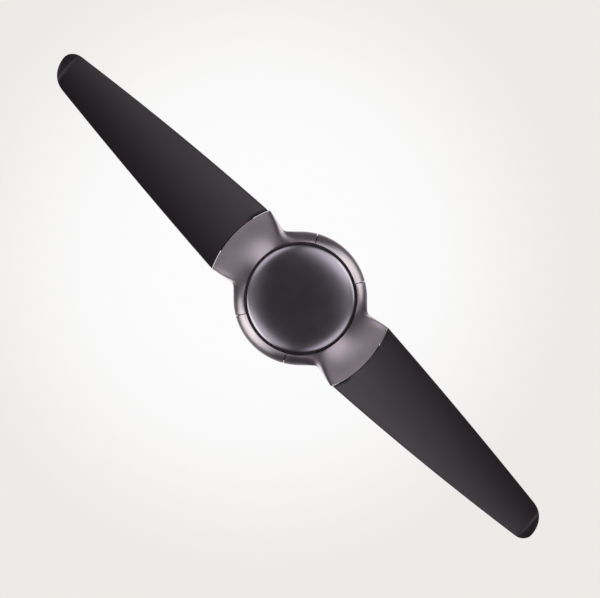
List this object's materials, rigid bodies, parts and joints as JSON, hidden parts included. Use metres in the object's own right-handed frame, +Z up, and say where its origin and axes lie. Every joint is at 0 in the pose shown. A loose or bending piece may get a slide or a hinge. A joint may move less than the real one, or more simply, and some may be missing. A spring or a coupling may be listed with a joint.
{
  "type": "ceiling fan",
  "caption": "Ceiling fan with two broad blades on cast arms, a turning ring round a closed domed cap, an outer-rotor motor and a ball-hung downrod.",
  "frame": {"origin": "ceiling plane at the middle of the bracket's two screw slots, on the spin axis", "axes": "+Z up along the spin axis, +X along a blade and along the line of the two ceiling slots, +Y completes the right hand"},
  "size_m": [1.336, 0.265, 0.333],
  "materials": {
    "bronze": "satin",
    "bronze_cast": "satin dark bronze coat",
    "blade_plastic": "satin",
    "steel": "zinc plated",
    "screws": "zinc plated",
    "cast_alloy": "as cast",
    "core_steel": "varnished laminations",
    "magnet": "matt",
    "winding": "enamelled copper wire",
    "board": "solder mask",
    "nylon": "satin",
    "housing_plastic": "matt",
    "connector": "gloss",
    "rubber": "matt",
    "lead": "satin sleeve"
  },
  "bodies": {
    "mounting": {"ceiling_bracket": "steel", "ball_seat": "steel", "canopy": "bronze", "canopy_screws": "screws", "receiver_box": "housing_plastic", "wire_connectors": "connector", "earth_screw": "screws"},
    "seat_liner": {"ball_liner": "nylon"},
    "hanger": {"hanger_ball": "bronze_cast", "ball_pin": "steel", "ball_set_screw": "screws", "downrod": "bronze", "coupling": "cast_alloy", "coupling_pin": "steel", "coupling_clip": "steel", "coupling_set_screws": "screws", "motor_shaft": "steel", "stator_core": "core_steel", "stator_windings": "winding", "stator_board": "board", "upper_bearing_inner": "steel", "lower_bearing_inner": "steel", "bearing_spacers": "steel", "top_housing": "bronze_cast", "housing_screws": "screws", "cap_plate": "steel", "shaft_washer": "steel", "shaft_nut": "steel", "motor_lead": "lead"},
    "rod_cover": {"coupling_cover": "bronze"},
    "cap": {"bottom_cap": "bronze_cast"},
    "ball_train": {"upper_bearing_balls": "steel", "lower_bearing_balls": "steel", "upper_bearing_cage": "winding", "lower_bearing_cage": "winding"},
    "rotor": {"upper_bell": "cast_alloy", "lower_bell": "cast_alloy", "bell_screws": "screws", "back_iron": "steel", "magnets": "magnet", "upper_bearing_outer": "steel", "lower_bearing_outer": "steel", "blade_arm_1": "bronze_cast", "blade_arm_2": "bronze_cast", "ring_cover_1": "bronze_cast", "ring_cover_2": "bronze_cast", "arm_screws": "screws", "cover_screws": "screws", "blade_1": "blade_plastic", "blade_2": "blade_plastic", "blade_pads": "rubber", "blade_clamps": "steel", "blade_screws": "screws"}
  },
  "joints": [
    {"name": "seat_tilt", "type": "hinge", "parent": "mounting", "child": "seat_liner", "pos_m": [0, 0, -0.034], "axis": [1, 0, 0], "range_deg": [-12, 12]},
    {"name": "ball_tilt", "type": "hinge", "parent": "seat_liner", "child": "hanger", "pos_m": [0, 0, -0.034], "axis": [0, 1, 0], "range_deg": [-12, 12]},
    {"name": "rotor_spin", "type": "hinge", "parent": "hanger", "child": "rotor", "pos_m": [0, 0, -0.275], "axis": [0, 0, 1], "continuous": true},
    {"name": "ball_train_spin", "type": "hinge", "parent": "hanger", "child": "ball_train", "pos_m": [0, 0, -0.275], "axis": [0, 0, 1], "continuous": true},
    {"name": "cap_twist", "type": "hinge", "parent": "hanger", "child": "cap", "pos_m": [0, 0, -0.31], "axis": [0, 0, 1], "range_deg": [-14, 0]},
    {"name": "cover_slide", "type": "slide", "parent": "hanger", "child": "rod_cover", "axis": [0, 0, 1], "range_m": [0, 0.06]}
  ],
  "couplings": [
    {"joint": "ball_train_spin", "follows": "rotor_spin", "ratio": 0.62}
  ]
}
